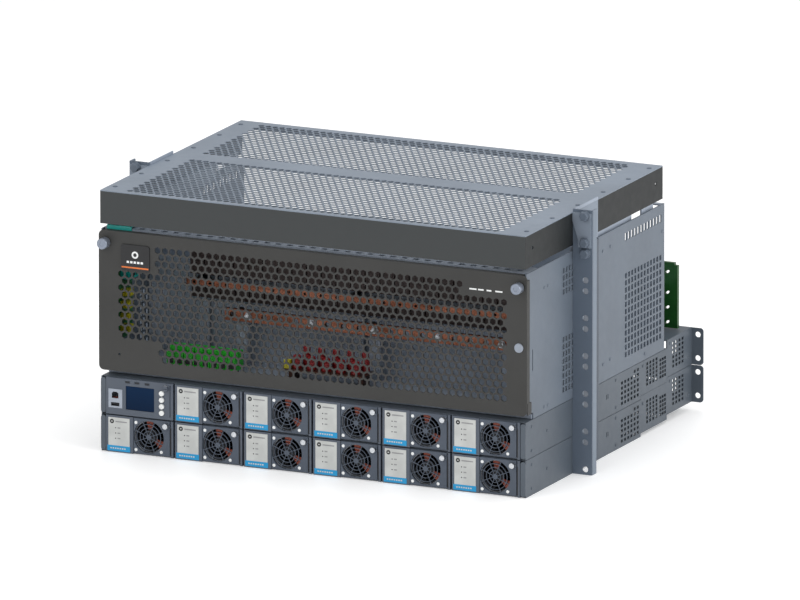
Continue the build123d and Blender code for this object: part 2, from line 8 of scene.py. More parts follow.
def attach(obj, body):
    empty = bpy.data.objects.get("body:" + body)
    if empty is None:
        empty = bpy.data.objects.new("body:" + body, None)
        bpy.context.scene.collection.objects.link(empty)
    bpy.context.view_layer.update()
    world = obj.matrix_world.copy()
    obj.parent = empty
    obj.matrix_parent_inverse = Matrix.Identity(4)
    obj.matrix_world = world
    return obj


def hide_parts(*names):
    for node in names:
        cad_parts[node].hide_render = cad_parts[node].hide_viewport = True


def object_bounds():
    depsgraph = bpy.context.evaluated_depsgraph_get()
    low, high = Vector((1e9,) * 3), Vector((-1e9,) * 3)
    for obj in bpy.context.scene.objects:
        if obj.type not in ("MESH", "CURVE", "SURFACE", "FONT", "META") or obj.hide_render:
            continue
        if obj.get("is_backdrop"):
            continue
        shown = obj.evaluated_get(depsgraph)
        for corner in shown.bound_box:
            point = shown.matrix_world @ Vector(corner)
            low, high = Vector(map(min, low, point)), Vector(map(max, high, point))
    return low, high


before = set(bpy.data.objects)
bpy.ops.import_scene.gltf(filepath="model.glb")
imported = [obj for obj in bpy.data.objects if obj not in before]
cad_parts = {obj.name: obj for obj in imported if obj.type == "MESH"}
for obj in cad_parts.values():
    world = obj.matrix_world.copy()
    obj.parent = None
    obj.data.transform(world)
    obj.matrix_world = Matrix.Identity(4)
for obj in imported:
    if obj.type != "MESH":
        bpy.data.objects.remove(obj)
cad_low, cad_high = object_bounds()

# ---- shelves ---------------------------------------------------------------------------
# Two one-unit trays of folded steel with slots punched in their sides, spot welded and
# powder coated grey-blue. The modules slide into them from the front.


class Amount:
    """A shader value that can be used in ordinary arithmetic."""

    def __init__(self, finish, socket):
        self.finish, self.socket = finish, socket

    def maths(self, operation, other, swapped=False):
        pair = (other, self) if swapped else (self, other)
        return self.finish.add("ShaderNodeMath", {"operation": operation}, *pair)

    def __add__(self, other):
        return self.maths("ADD", other)

    def __sub__(self, other):
        return self.maths("SUBTRACT", other)

    def __rsub__(self, other):
        return self.maths("SUBTRACT", other, swapped=True)

    def __mul__(self, other):
        return self.maths("MULTIPLY", other)


class Finish:
    """One material, with its shader and the few nodes that nearly every finish uses."""

    def __init__(self, name, roughness=0.5, metallic=0.0):
        self.material = bpy.data.materials.new(name)
        self.material.use_nodes = True
        self.tree = self.material.node_tree
        self.shader = self.tree.nodes["Principled BSDF"]
        self.shader.inputs["Roughness"].default_value = roughness
        self.shader.inputs["Metallic"].default_value = metallic

    def add(self, kind, settings=None, *inputs, output=0, **named):
        node = self.tree.nodes.new(kind)
        for name, value in (settings or {}).items():
            setattr(node, name, value)
        sockets = list(zip(node.inputs, inputs))
        sockets += [(node.inputs[name.replace("_", " ")], value)
                    for name, value in named.items()]
        for socket, value in sockets:
            if isinstance(value, Amount):
                self.tree.links.new(value.socket, socket)
            elif value is not None:
                socket.default_value = value
        return Amount(self, node.outputs[output])

    def feed(self, **named):
        for name, value in named.items():
            self.tree.links.new(value.socket, self.shader.inputs[name.replace("_", " ")])

    def place(self):
        return self.add("ShaderNodeTexCoord", output="Object")

    def axes(self):
        split = self.add("ShaderNodeSeparateXYZ", {}, self.place())
        return [Amount(self, socket) for socket in split.socket.node.outputs]

    def speckle(self, scale, detail=3.0, stretch=(1, 1, 1)):
        where = self.add("ShaderNodeVectorMath", {"operation": "MULTIPLY"}, self.place(), stretch)
        return self.add("ShaderNodeTexNoise", {}, Vector=where, Scale=scale, Detail=detail)

    def ramp(self, amount, low, high):
        """0 below low and 1 above high."""
        settings = {"clamp": True}
        return self.add("ShaderNodeMapRange", settings, amount, low, high, 0.0, 1.0)

    def mix(self, share, first, second):
        """A colour that goes from first to second as share goes from 0 to 1."""
        node = self.tree.nodes.new("ShaderNodeMix")
        node.data_type = "RGBA"
        for name, value in (("Factor", share), ("A", first), ("B", second)):
            socket = next(s for s in node.inputs if s.name == name and s.enabled)
            if isinstance(value, Amount):
                self.tree.links.new(value.socket, socket)
            else:
                socket.default_value = value
        return Amount(self, next(s for s in node.outputs if s.enabled))

    def rounded(self, radius):
        """The surface direction with its edges softened by radius, in metres."""
        return self.add("ShaderNodeBevel", {"samples": 4}, radius)

    def edges(self, soft):
        """1 on sharp outer edges, where a coating wears first, and 0 on flat faces."""
        flat = self.add("ShaderNodeNewGeometry", output="Normal")
        facing = self.add("ShaderNodeVectorMath", {"operation": "DOT_PRODUCT"}, soft, flat,
                          output="Value")
        return self.ramp(1 - facing, 0.02, 0.25)

    def bump(self, height, strength, distance, normal=None):
        return self.add("ShaderNodeBump", {}, Strength=strength, Distance=distance,
                        Height=height, Normal=normal)


def srgb(red, green, blue):
    """A colour as a paint chart gives it, 0 to 255, as the linear values a shader takes."""
    channels = [value / 255 for value in (red, green, blue)]
    linear = [c / 12.92 if c < 0.04045 else ((c + 0.055) / 1.055) ** 2.4 for c in channels]
    return (*linear, 1.0)


def shade(colour, factor):
    return (*[min(channel * factor, 1.0) for channel in colour[:3]], 1.0)


EDGE_SOFTNESS = 0.0006
ORANGE_PEEL = 2600


def finish_coat(coat, paint, rubbed, roughness, wear):
    """Baked powder paint: fine orange peel and a paler tone where the edges are rubbed."""
    soft = coat.rounded(EDGE_SOFTNESS)
    worn = coat.edges(soft) * coat.ramp(coat.speckle(180), 0.42, 0.62) * wear
    coat.feed(Base_Color=coat.mix(worn, paint, rubbed))
    coat.feed(Roughness=coat.speckle(90) * 0.16 + (roughness - 0.08))
    coat.feed(Normal=coat.bump(coat.speckle(ORANGE_PEEL), 0.10, 0.0002, soft))
    coat.shader.inputs["Specular IOR Level"].default_value = 0.3
    return coat.material


def powder_coat(name, colour, roughness=0.42, wear=0.45):
    coat = Finish(name, roughness)
    mottling = coat.ramp(coat.speckle(14), 0.35, 0.65)
    mottled = coat.mix(mottling, shade(colour, 0.94), shade(colour, 1.06))
    return finish_coat(coat, mottled, shade(colour, 2.1), roughness, wear)


def dress(node, material):
    """Gives a CAD node's own mesh its finish."""
    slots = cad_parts[node].data.materials
    slots.clear()
    slots.append(material)


shelf_coat = powder_coat("shelf_coat", srgb(80, 88, 97))
for node in ("shelf_lower", "shelf_upper"):
    dress(node, shelf_coat)


def new_piece(name, mesh, body, materials, smooth=False):
    """Puts a finished mesh in the scene, riding on a body."""
    if isinstance(mesh, bmesh.types.BMesh):
        data = bpy.data.meshes.new(name)
        mesh.normal_update()
        mesh.to_mesh(data)
        mesh.free()
    else:
        data = mesh
    piece = bpy.data.objects.new(name, data)
    bpy.context.scene.collection.objects.link(piece)
    for material in materials:
        if data.materials.find(material.name) < 0:
            data.materials.append(material)
    if smooth:
        data.shade_smooth()
        data.set_sharp_from_angle(angle=math.radians(35))
    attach(piece, body)
    return piece


THUMBSCREW_REACH = 0.012
FRONT_Y = cad_low.y + THUMBSCREW_REACH
UNIT = 44.45


def mm(x, y, z):
    """A point given in millimetres across, behind the front face and up, in metres."""
    return Vector((x / 1000, y / 1000 + FRONT_Y, z / 1000))


def add_box(mesh, low, high, slot=0, bevel=0.0):
    """Adds a box between two corners in millimetres, with rounded edges if bevel is given."""
    low, high = mm(*low), mm(*high)
    made = bmesh.ops.create_cube(mesh, size=1.0)["verts"]
    for vert in made:
        vert.co = Vector([low[i] + (vert.co[i] + 0.5) * (high[i] - low[i]) for i in range(3)])
    faces = {face for vert in made for face in vert.link_faces}
    for face in faces:
        face.material_index = slot
    if bevel:
        edges = list({edge for face in faces for edge in face.edges})
        bevelled = bmesh.ops.bevel(mesh, geom=edges, offset=bevel / 1000, segments=2,
                                   profile=0.6, affect="EDGES")
        for face in bevelled["faces"]:
            face.material_index = slot


def add_turned(mesh, centre, profile, axis="Y", slot=0, steps=24):
    """Adds a turned part. The profile lists (along, radius) in millimetres from its start."""
    rings = []
    for along, radius in profile:
        ring = []
        for step in range(steps):
            angle = math.tau * step / steps
            across = (radius * math.cos(angle), radius * math.sin(angle))
            offset = {"X": (along, *across), "Y": (across[0], along, across[1]),
                      "Z": (*across, along)}[axis]
            ring.append(mesh.verts.new(mm(*[c + o for c, o in zip(centre, offset)])))
        rings.append(ring)
    faces = [mesh.faces.new(rings[0]), mesh.faces.new(rings[-1][::-1])]
    for near, far in zip(rings, rings[1:]):
        for step in range(steps):
            after = (step + 1) % steps
            faces.append(mesh.faces.new((near[step], far[step], far[after], near[after])))
    if axis == "Y":
        bmesh.ops.reverse_faces(mesh, faces=faces)
    for face in faces:
        face.material_index = slot


# Rivets along the shelves' sides, where the trays and their rear boxes are joined, given
# as places behind the front and above each shelf's floor.
RIVET_HEIGHT = 0.9
BODY_HALF = 267.5
SHELF_RIVETS = ((18, 8), (18, 36), (60, 22), (250, 6), (250, 38), (325, 38), (400, 48), (452, 20))
steel = Finish("zinc_plated_steel", 0.34, 1.0)
steel_tint = steel.mix(steel.ramp(steel.speckle(60), 0.3, 0.7),
                       srgb(176, 180, 186), srgb(205, 208, 212))
steel.feed(Base_Color=steel_tint, Roughness=steel.speckle(400) * 0.25 + 0.22)
steel.feed(Normal=steel.bump(steel.speckle(1500), 0.12, 0.0001, steel.rounded(0.0003)))

rivets = bmesh.new()
for level in (0.0, UNIT):
    for y, z in SHELF_RIVETS:
        for side in (-1, 1):
            dome = [(0, 2.0), (side * 0.4, 1.9), (side * RIVET_HEIGHT, 1.0)]
            add_turned(rivets, (side * BODY_HALF, y, level + z), dome, "X", steps=14)
bmesh.ops.recalc_face_normals(rivets, faces=rivets.faces)
new_piece("shelf_rivets", rivets, "chassis", [shelf_coat], smooth=True)

# ---- backplanes ------------------------------------------------------------------------
# Printed boards across the back of each shelf with one socket per bay. Glass-fibre board
# under green solder mask, with fine copper tracks showing as paler lines.


def circuit_board(name, colour):
    board = Finish(name, 0.38)
    tracks = board.add("ShaderNodeTexBrick", {}, Vector=board.place(), Scale=160.0,
                       Mortar_Size=0.03, Color1=(0, 0, 0, 1), Color2=(0, 0, 0, 1),
                       Mortar=(1, 1, 1, 1))
    patch = board.ramp(board.speckle(45), 0.45, 0.55)
    board.feed(Base_Color=board.mix(tracks * patch * 0.6, colour, shade(colour, 2.4)))
    board.feed(Roughness=board.speckle(250) * 0.2 + 0.28)
    board.feed(Normal=board.bump(tracks, 0.2, 0.0002, board.rounded(0.0002)))
    return board.material


board_green = circuit_board("board_green", srgb(22, 92, 44))
dress("shelf_backplanes", board_green)

# ---- rectifier modules -----------------------------------------------------------------
# Eleven plug-in rectifiers. The front plate is powder coated sheet, the case behind it is
# plain zinc plated sheet, and inside sit the board, heatsink and coils.
MODULE_PITCH = 87.3
MODULE_LEFT = -260.75
BAYS = [(bay, 0.0) for bay in range(6)] + [(bay, UNIT) for bay in range(1, 6)]
FAN_X, FAN_Z = 53.8, 21.9
FASCIA_BACK = 3.6
FASCIA_COLOUR = srgb(74, 82, 94)

module_finish = Finish("module_coat_and_steel", 0.45)
depth = module_finish.axes()[1] - FRONT_Y
is_case = module_finish.ramp(depth, (FASCIA_BACK - 0.01) / 1000, (FASCIA_BACK + 0.01) / 1000)
soft = module_finish.rounded(0.0005)
rubbing = module_finish.ramp(module_finish.speckle(220), 0.45, 0.62)
worn = module_finish.edges(soft) * rubbing * 0.4
coat = module_finish.mix(worn, FASCIA_COLOUR, shade(FASCIA_COLOUR, 2.0))
zinc = module_finish.mix(module_finish.ramp(module_finish.speckle(35), 0.35, 0.65),
                         srgb(150, 154, 160), srgb(178, 182, 188))
module_finish.feed(Base_Color=module_finish.mix(is_case, coat, zinc))
module_finish.feed(Metallic=is_case * 0.85)
module_finish.feed(Roughness=module_finish.speckle(150) * 0.2 + 0.34 - is_case * 0.06)
module_finish.feed(Normal=module_finish.bump(module_finish.speckle(2400), 0.1, 0.0002, soft))
module_coat = module_finish.material
for number in range(1, len(BAYS) + 1):
    dress(f"rectifier_{number:02d}_module", module_coat)


def bay_place(bay, level):
    """Where a piece drawn from a module's left edge goes for one bay, in metres."""
    return (MODULE_LEFT / 1000 + bay * MODULE_PITCH / 1000, 0, level / 1000)


def finished_mesh(name, mesh):
    """Turns a drawn mesh into the kind that objects use and can share."""
    data = bpy.data.meshes.new(name)
    mesh.to_mesh(data)
    mesh.free()
    return data


def plain_finish(name, colour, roughness, metallic=0.0, grain=900, depth=0.0001, strength=0.12):
    """Moulded plastic, ink or plated metal: slight mottling and a fine grain."""
    finish = Finish(name, roughness, metallic)
    mottled = finish.ramp(finish.speckle(70), 0.35, 0.65)
    finish.feed(Base_Color=finish.mix(mottled, shade(colour, 0.93), shade(colour, 1.05)))
    finish.feed(Roughness=finish.speckle(260) * 0.16 + (roughness - 0.08))
    finish.feed(Normal=finish.bump(finish.speckle(grain), strength, depth, finish.rounded(0.00025)))
    return finish.material


white_plastic = plain_finish("white_plastic", srgb(228, 230, 230), 0.4)
black_plastic = plain_finish("black_plastic", srgb(20, 21, 24), 0.45)
turned_steel = steel.material

# ---- module labels ---------------------------------------------------------------------
# A pale printed panel stuck on the left of each front plate: a round mark, three lamp
# windows with short bars beside them, and a blue strip along the bottom. The dark slit and
# its dot near the right edge of the plate are printed on as well.
label_face = plain_finish("label_face", srgb(186, 188, 186), 0.5)
label_blue = plain_finish("label_blue", srgb(8, 138, 190), 0.5)
label_ink = plain_finish("label_ink", srgb(26, 26, 28), 0.5)
label_grey = plain_finish("label_grey", srgb(140, 141, 142), 0.5)
LABEL_X0, LABEL_X1, LABEL_Z0, LABEL_Z1 = 3.0, 29.9, 3.0, 41.2
BLUE_Z0, BLUE_Z1 = 1.6, 8.2
LAMP_X, LAMP_TOP, LAMP_PITCH = 12.2, 28.2, 6.2
DASH_X, DASH_PITCH, DASH_LENGTH = 5.6, 2.9, 1.9
SLIT_X0, SLIT_X1, SLIT_Z0, SLIT_Z1 = 81.6, 82.7, 5.0, 36.0
FACE, BLUE, INK, GREY = range(4)

label = bmesh.new()
add_box(label, (LABEL_X0, -0.25, LABEL_Z0), (LABEL_X1, 0.0, LABEL_Z1), FACE, 0.1)
add_box(label, (LABEL_X0 - 1.3, -0.4, BLUE_Z0), (LABEL_X1 + 0.6, 0.0, BLUE_Z1), BLUE, 0.12)
add_turned(label, (7.6, -0.42, 36.6), [(0.2, 2.6), (0, 2.6)], slot=INK, steps=28)
add_box(label, (6.6, -0.5, 36.0), (8.6, -0.42, 37.2), FACE)
add_box(label, (12.0, -0.32, 35.8), (26.5, -0.2, 37.3), GREY)
for lamp in range(3):
    low = LAMP_TOP - lamp * LAMP_PITCH
    add_box(label, (LAMP_X + 2.4, -0.32, low + 0.2), (LAMP_X + 6.0, -0.2, low + 1.7), GREY)
    add_turned(label, (LAMP_X, -0.34, low + 0.9), [(0.15, 0.7), (0, 0.7)], slot=INK, steps=12)
for dash in range(7):
    start = DASH_X + dash * DASH_PITCH
    add_box(label, (start, -0.48, 4.2), (start + DASH_LENGTH, -0.4, 5.8), FACE)
add_box(label, (SLIT_X0, -0.2, SLIT_Z0), (SLIT_X1, 0.05, SLIT_Z1), INK)
slit_middle = (SLIT_X0 + SLIT_X1) / 2
add_turned(label, (slit_middle, -0.2, 3.6), [(0.25, 0.9), (0, 0.9)], slot=INK, steps=12)
label_mesh = finished_mesh("label", label)
for number, (bay, level) in enumerate(BAYS, start=1):
    stuck = new_piece(f"rectifier_{number:02d}_label", label_mesh, f"rectifier_{number:02d}",
                      [label_face, label_blue, label_ink, label_grey])
    stuck.location = bay_place(bay, level)

# ---- folding guards --------------------------------------------------------------------
# A punched and coated plate of rings and spokes that folds down as the module's handle.
# Three white plastic rivets and one knurled captive screw sit at its corners.
guard_coat = powder_coat("guard_coat", FASCIA_COLOUR, wear=0.3)
HANDLE_X0, HANDLE_X1, HANDLE_Z0, HANDLE_Z1 = 34.8, 80.6, 2.4, 43.1
GUARD_Y0, GUARD_Y1 = 0.3, 1.6
GUARD_RIVET = 16
CAPTIVE_X, CAPTIVE_Z = 76.6, 37.9


def flat_sheet(mesh, outline, holes, place, thickness, slot=0):
    """Adds a punched sheet. Outline and holes are loops of 2-D points in millimetres, place
    turns (across, up, back) into a point of the object."""
    points, edges, owner = [], [], []
    for number, loop in enumerate([outline, *holes]):
        first = len(points)
        points += [Vector(point) for point in loop]
        owner += [number] * len(loop)
        edges += [(first + i, first + (i + 1) % len(loop)) for i in range(len(loop))]
    made = delaunay_2d_cdt(points, edges, [], 1, 1e-5)
    spots, triangles, origins = made[0], made[2], made[3]
    loops = [owner[source[0]] if source else -1 for source in origins]
    fronts = [mesh.verts.new(place(spot.x, spot.y, 0.0)) for spot in spots]
    backs = [mesh.verts.new(place(spot.x, spot.y, thickness)) for spot in spots]
    faces = []
    for triangle in triangles:
        inside_hole = len({loops[corner] for corner in triangle}) == 1 and loops[triangle[0]] > 0
        if not inside_hole:
            faces.append(mesh.faces.new([fronts[corner] for corner in triangle]))
            faces.append(mesh.faces.new([backs[corner] for corner in reversed(triangle)]))
    rims = [edge for edge in mesh.edges if edge.is_valid and len(edge.link_faces) == 1]
    twin = dict(zip(fronts, backs))
    for edge in rims:
        first, second = edge.verts
        if first in twin and second in twin:
            faces.append(mesh.faces.new((second, first, twin[first], twin[second])))
    bmesh.ops.recalc_face_normals(mesh, faces=faces)
    for face in faces:
        face.material_index = slot


def circle(x, z, radius, steps=32, start=0.0):
    turns = [math.tau * step / steps + start for step in range(steps)]
    return [(x + radius * math.cos(turn), z + radius * math.sin(turn)) for turn in turns]


HALF_SPOKE = 0.4


def arc_window(inner, outer, start, end, steps):
    """A window of the guard between two rings and two spokes, as a loop of points."""
    turns = [start + (end - start) * step / steps for step in range(steps + 1)]
    near = [(inner, turn, HALF_SPOKE / inner) for turn in turns]
    far = [(outer, turn, HALF_SPOKE / outer) for turn in reversed(turns)]
    loop = []
    for radius, turn, trim in near + far:
        kept = min(max(turn, start + trim), end - trim)
        loop.append((FAN_X + radius * math.cos(kept), FAN_Z + radius * math.sin(kept)))
    return loop


RINGS = ((3.2, 6.5), (7.2, 10.5), (11.2, 14.8), (15.5, 19.2))
SPOKES = 8
guard_holes = []
for inner, outer in RINGS:
    for spoke in range(SPOKES):
        start = math.tau * (spoke + 0.5) / SPOKES
        guard_holes.append(arc_window(inner, outer, start, start + math.tau / SPOKES, 6))
guard_outline = [(HANDLE_X0, HANDLE_Z0), (HANDLE_X1, HANDLE_Z0), (HANDLE_X1, HANDLE_Z1),
                 (HANDLE_X0, HANDLE_Z1)]
guard = bmesh.new()
flat_sheet(guard, guard_outline, guard_holes, lambda x, z, y: mm(x, GUARD_Y0 + y, z),
           GUARD_Y1 - GUARD_Y0)
HINGE_BAR = [(0, 0.5), (2, 0.5), (2, 0.9), (47.8, 0.9), (47.8, 0.5), (50.2, 0.5)]
add_turned(guard, (HANDLE_X0 - 2, 1.2, HANDLE_Z0), HINGE_BAR, "X", steps=12)
rivet_dome = [(0.5, 1.9), (0.1, 1.9), (-0.3, 1.5), (-0.5, 0.8)]
for across, up in ((-1, 1), (-1, -1), (1, -1)):
    at = (FAN_X + across * GUARD_RIVET, 0.0, FAN_Z + up * GUARD_RIVET)
    add_turned(guard, at, rivet_dome, slot=1, steps=16)
knurl = [(3.2, 1.4), (0.3, 1.4), (0.3, 3.3), (-4.9, 3.3), (-5.4, 2.8), (-5.4, 1.7), (-5.0, 1.6)]
add_turned(guard, (CAPTIVE_X, 0.0, CAPTIVE_Z), knurl, slot=2, steps=36)
bmesh.ops.recalc_face_normals(guard, faces=guard.faces)
guard_mesh = finished_mesh("guard", guard)
for number, (bay, level) in enumerate(BAYS, start=1):
    folded = new_piece(f"rectifier_{number:02d}_guard", guard_mesh, f"handle_{number:02d}",
                       [guard_coat, white_plastic, turned_steel])
    folded.location = bay_place(bay, level)
    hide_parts(f"rectifier_{number:02d}_handle")

# ---- fans ------------------------------------------------------------------------------
# A moulded black rotor of seven swept blades round a hub, one in each module. In front of
# it stand short red-brown strips, the varnished copper of the motor's windings and leads.
BLADES, RADIAL_STEPS, CHORD_STEPS = 7, 5, 4
BLADE_ROOT, BLADE_STEP, BLADE_Y = 7.9, 1.85, 14.5
fan = bmesh.new()
add_turned(fan, (FAN_X, 0, FAN_Z), [(8.2, 5.0), (8.0, 6.8), (8.6, 8.1), (21.2, 8.2)], steps=28)
for blade in range(BLADES):
    rows = []
    for radial in range(RADIAL_STEPS + 1):
        radius = BLADE_ROOT + radial * BLADE_STEP
        sweep = math.tau * blade / BLADES + radial * 0.085
        pitch = math.radians(38 + radial * 3)
        half = 5.0 + radial * 0.5
        row = []
        for chord in range(CHORD_STEPS + 1):
            along = (2 * chord / CHORD_STEPS - 1) * half
            rise = 0.9 * (1 - (along / half) ** 2)
            turn = sweep + along * math.sin(pitch) / radius
            x, z = FAN_X + radius * math.cos(turn), FAN_Z + radius * math.sin(turn)
            y = BLADE_Y + along * math.cos(pitch) + rise * 0.6
            row.append(fan.verts.new(mm(x, y, z)))
        rows.append(row)
    sheet = []
    for near, far in zip(rows, rows[1:]):
        for chord in range(CHORD_STEPS):
            corners = (near[chord], near[chord + 1], far[chord + 1], far[chord])
            sheet.append(fan.faces.new(corners))
    bmesh.ops.solidify(fan, geom=sheet, thickness=0.0007)
fan_mesh = finished_mesh("fan", fan)
fan_plastic = plain_finish("fan_plastic", srgb(24, 26, 32), 0.35)
winding = plain_finish("winding_copper", srgb(140, 62, 42), 0.4)
LEAD_Y, LEAD_THICK = 4.6, 1.0
LEAD_ROOT, LEAD_PITCH, LEAD_WIDTH, LEAD_STEPS = 8.6, 3.3, 2.8, 6


def arc_strip(inner, outer, low, high):
    """A flat strip bent round the fan's axis between two angles in degrees."""
    loop = []
    for radius, start, end in ((inner, low, high), (outer, high, low)):
        for step in range(LEAD_STEPS + 1):
            turn = math.radians(start + (end - start) * step / LEAD_STEPS)
            loop.append((FAN_X + radius * math.cos(turn), FAN_Z + radius * math.sin(turn)))
    return loop


leads = bmesh.new()
for low, high in ((76, 104), (-48, -16)):
    for layer in range(3):
        inner = LEAD_ROOT + layer * LEAD_PITCH
        flat_sheet(leads, arc_strip(inner, inner + LEAD_WIDTH, low, high), [],
                   lambda x, z, y: mm(x, LEAD_Y + y, z), LEAD_THICK)
bmesh.ops.recalc_face_normals(leads, faces=leads.faces)
leads_mesh = finished_mesh("leads", leads)
for number, (bay, level) in enumerate(BAYS, start=1):
    rotor = new_piece(f"rectifier_{number:02d}_rotor", fan_mesh, f"fan_rotor_{number:02d}",
                      [fan_plastic], smooth=True)
    rotor.location = bay_place(bay, level)
    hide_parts(f"rectifier_{number:02d}_fan_rotor")
    wound = new_piece(f"rectifier_{number:02d}_motor_leads", leads_mesh, f"rectifier_{number:02d}",
                      [winding])
    wound.location = bay_place(bay, level)

# ---- controller ------------------------------------------------------------------------
# The controller in the upper left bay: a coated front plate, a pale connector plate with a
# network and a USB socket, a dark blue display, four white push buttons and, above them, a
# knurled screw. Three short dark bars stand where its markings would be.
CONTROL_Z = UNIT
dress("controller_module", module_coat)
connector_plate = plain_finish("connector_plate", srgb(150, 158, 170), 0.4)
socket_dark = plain_finish("socket_dark", srgb(24, 27, 34), 0.5)


def module_point(x, y, z):
    return (MODULE_LEFT + x, y, CONTROL_Z + z)


ports = bmesh.new()
port_outline = [(3.4, 8.3), (20.8, 8.3), (20.8, 30.4), (3.4, 30.4)]
jack_window = [(7.6, 19.6), (16.0, 19.6), (16.0, 25.4), (14.2, 25.4), (14.2, 27.2),
               (9.4, 27.2), (9.4, 25.4), (7.6, 25.4)]
usb_window = [(6.6, 10.4), (17.2, 10.4), (17.2, 14.6), (6.6, 14.6)]
flat_sheet(ports, port_outline, [jack_window, usb_window],
           lambda x, z, y: mm(MODULE_LEFT + x, y - 0.6, CONTROL_Z + z), 0.58)
add_box(ports, module_point(7.4, 0.2, 12.2), module_point(16.4, 3.0, 13.3), 1, 0.1)
for pin in range(8):
    left = 8.6 + pin * 0.85
    add_box(ports, module_point(left, 1.0, 19.8), module_point(left + 0.4, 5.0, 20.4), 2)
new_piece("controller_ports", ports, "controller",
          [connector_plate, socket_dark, winding])

marks = bmesh.new()
HALF_MARK = 2.6
for mark in (27.3, 39.3, 52.1):
    add_box(marks, module_point(mark - HALF_MARK, -0.12, 38.9),
            module_point(mark + HALF_MARK, 0.3, 40.7), 0, 0.08)
knurled = [(3.0, 1.4), (0.2, 1.4), (0.2, 2.9), (-3.6, 2.9), (-4.0, 2.4), (-4.0, 1.6),
           (-3.7, 1.5)]
add_turned(marks, module_point(76.6, 0, 38.6), knurled, slot=1, steps=36)
new_piece("controller_marks", marks, "controller", [socket_dark, turned_steel])

display = Finish("display_glass", 0.12)
display.shader.inputs["Specular IOR Level"].default_value = 0.08
DISPLAY_LOW, DISPLAY_HIGH = 7, 36
height = display.axes()[2]
glow = display.ramp(height, (CONTROL_Z + DISPLAY_LOW) / 1000, (CONTROL_Z + DISPLAY_HIGH) / 1000)
scan = display.add("ShaderNodeTexWave", {"bands_direction": "Z"}, Vector=display.place(),
                   Scale=900.0)
display.feed(Base_Color=display.mix(glow, srgb(3, 27, 54), srgb(8, 36, 66)))
display.feed(Roughness=display.speckle(30) * 0.08 + 0.1)
display.feed(Normal=display.bump(scan, 0.02, 0.00005))
dress("controller_display", display.material)
for number in range(1, 5):
    dress(f"controller_button_{number}", white_plastic)

# ---- cabinet ---------------------------------------------------------------------------
# The distribution cabinet: two slotted side panels, a floor, a slotted front rail, a
# partition and a low rear wall, folded from sheet. The inside is coated a lighter grey.
CABINET_RIVETS = ((52, 96), (62, 96), (52, 236), (62, 236), (213, 243), (234, 244), (214, 109),
                  (234, 111), (330, 96), (378, 230))
panel_coat = powder_coat("panel_coat", srgb(94, 103, 114))
inner_coat = powder_coat("inner_coat", srgb(150, 160, 174), wear=0.2)
dress("cabinet_side_left", panel_coat)
dress("cabinet_side_right", panel_coat)
dress("cabinet_frame", inner_coat)
fixings = bmesh.new()
for side in (-1, 1):
    for y, z in CABINET_RIVETS:
        dome = [(0, 2.1), (side * 0.3, 2.1), (side * 0.8, 1.1)]
        add_turned(fixings, (side * BODY_HALF, y, z), dome, "X", steps=14)
bmesh.ops.recalc_face_normals(fixings, faces=fixings.faces)
new_piece("cabinet_rivets", fixings, "chassis", [panel_coat], smooth=True)

# ---- busbars ---------------------------------------------------------------------------
# Two long bare copper bars punched for cable lugs, darkened by handling and heat, held on
# black insulators in front of coated steel posts, with steel bolts where the feeders land.
# Behind them stand two rows of dark brown moulded carriers for breakers or fuses.
copper = Finish("bare_copper", 0.32, 1.0)
tarnish = copper.ramp(copper.speckle(24, stretch=(1, 4, 4)), 0.35, 0.68)
copper.feed(Base_Color=copper.mix(tarnish, srgb(156, 104, 84), srgb(112, 70, 54)))
copper.feed(Roughness=copper.speckle(300, stretch=(0.1, 1, 1)) * 0.3 + 0.2)
copper.feed(Normal=copper.bump(copper.speckle(900, stretch=(0.05, 1, 1)), 0.15, 0.0001,
                               copper.rounded(0.0005)))
breaker_brown = plain_finish("breaker_brown", srgb(44, 28, 26), 0.5)
CABINET_FLOOR = 90.4
BAR_THICK, BAR_HOLE_PITCH = 5.0, 20
LOWER_BAR = {"x": (-150, 210), "y": 84, "z": (148, 162), "holes": 18, "radius": 3.4}
UPPER_BAR = {"x": (-205, 210), "y": 98, "z": (181, 189), "holes": 20, "radius": 1.6}
INSULATOR = [(0, 5), (16, 5)]
POST_GAP, POST_THICK, POST_HALF = 21, 3, 7
CARRIER_PITCH, CARRIER_WIDTH, CARRIER_BACK = 18.5, 17.6, 126
LUG_BOLT = [(0, 5.0), (-0.8, 5.0), (-0.8, 4.2), (-3.6, 4.2), (-4.0, 3.6)]


def bar_hole(bar, hole):
    """Where a bar's hole is, across and up. The first one is 10 mm from the bar's left end."""
    return bar["x"][0] + 10 + BAR_HOLE_PITCH * hole, sum(bar["z"]) / 2


bars = bmesh.new()
for bar in (LOWER_BAR, UPPER_BAR):
    (left, right), (low, high), front = bar["x"], bar["z"], bar["y"]
    outline = [(left, low), (right, low), (right, high), (left, high)]
    holes = [circle(*bar_hole(bar, hole), bar["radius"], 16) for hole in range(bar["holes"])]
    flat_sheet(bars, outline, holes, lambda x, z, y: mm(x, front + y, z), BAR_THICK)
    post_y = front + POST_GAP
    for x in (left + 12, (left + right) / 2, right - 12):
        add_turned(bars, (x, front + BAR_THICK, (low + high) / 2), INSULATOR, slot=1)
        add_box(bars, (x - POST_HALF, post_y, CABINET_FLOOR),
                (x + POST_HALF, post_y + POST_THICK, high - 1), 2, 0.4)
for hole in range(1, LOWER_BAR["holes"], 4):
    x, z = bar_hole(LOWER_BAR, hole)
    add_turned(bars, (x, LOWER_BAR["y"], z), LUG_BOLT, slot=3, steps=6)
for carrier in range(24):
    left = UPPER_BAR["x"][0] + carrier * CARRIER_PITCH
    for front, low, high in ((108, 192, 232), (112, 164, 180)):
        add_box(bars, (left, front, low), (left + CARRIER_WIDTH, CARRIER_BACK, high), 4, 0.6)
bars_piece = new_piece("copper_bars", bars, "chassis",
                       [copper.material, black_plastic, inner_coat, turned_steel, breaker_brown])
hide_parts("busbars")

